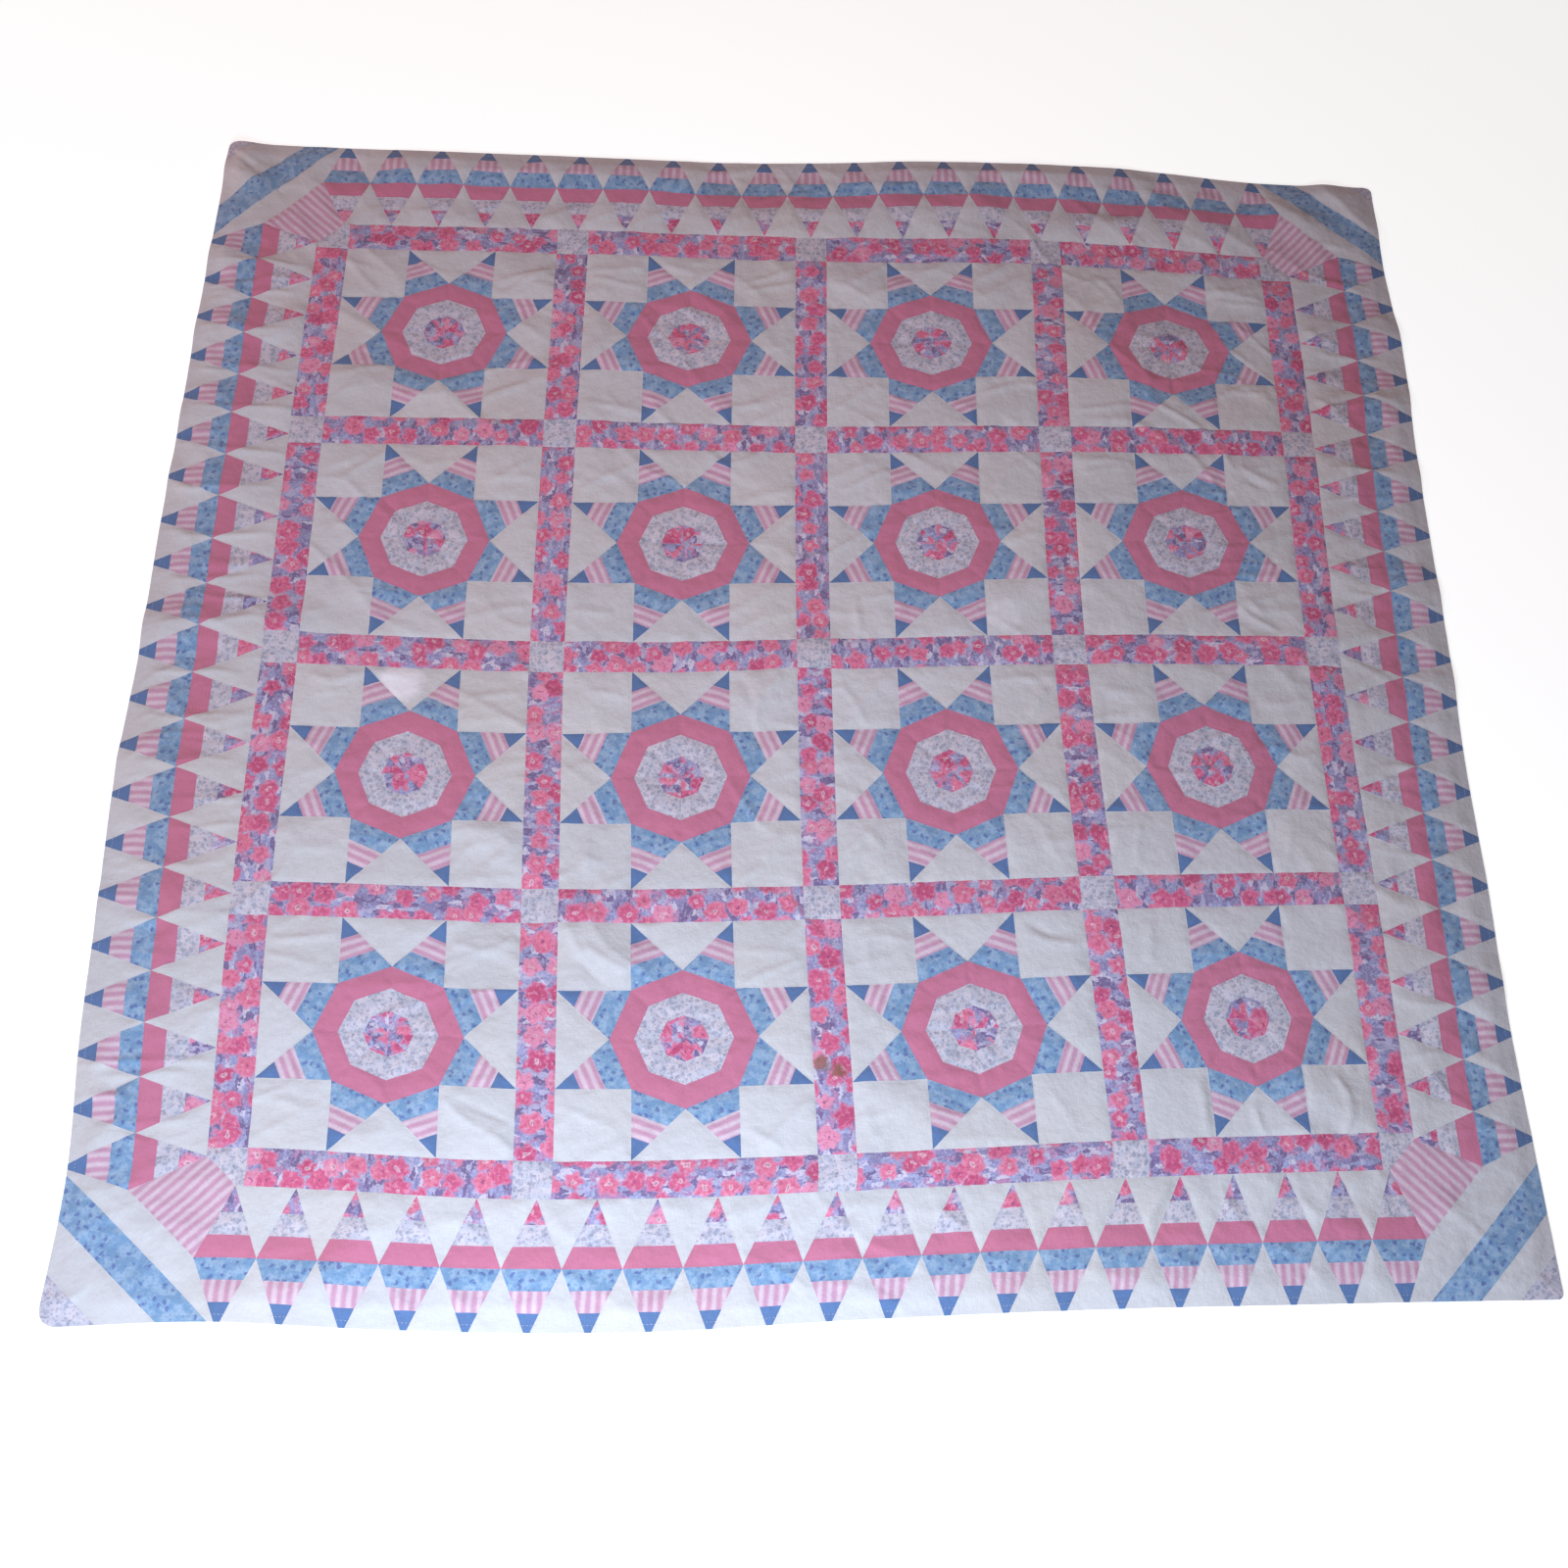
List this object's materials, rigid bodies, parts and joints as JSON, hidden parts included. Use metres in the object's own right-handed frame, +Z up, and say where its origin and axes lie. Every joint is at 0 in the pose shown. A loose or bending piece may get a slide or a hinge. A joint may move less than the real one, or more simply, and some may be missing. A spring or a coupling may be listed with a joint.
{
  "type": "patchwork quilt",
  "caption": "Thin square patchwork quilt laid out flat, with a turned hem, an uneven edge and low soft folds, to cover a bed or wrap round someone.",
  "frame": {"origin": "centre of the bounding box in plan, at the underside of the quilt where it lies on the ground", "axes": "+Z up out of the patchwork face, +Y towards the quilt's head edge, +X to the right as seen from the foot edge"},
  "size_m": [2.0456, 2.0544, 0.0116],
  "materials": {
    "quilt_cotton": "matt pieced cotton: cream, rose pink, blue print, navy, pink stripe, speckled print and large floral"
  },
  "bodies": {
    "root": {"quilt": "quilt_cotton"}
  },
  "joints": []
}
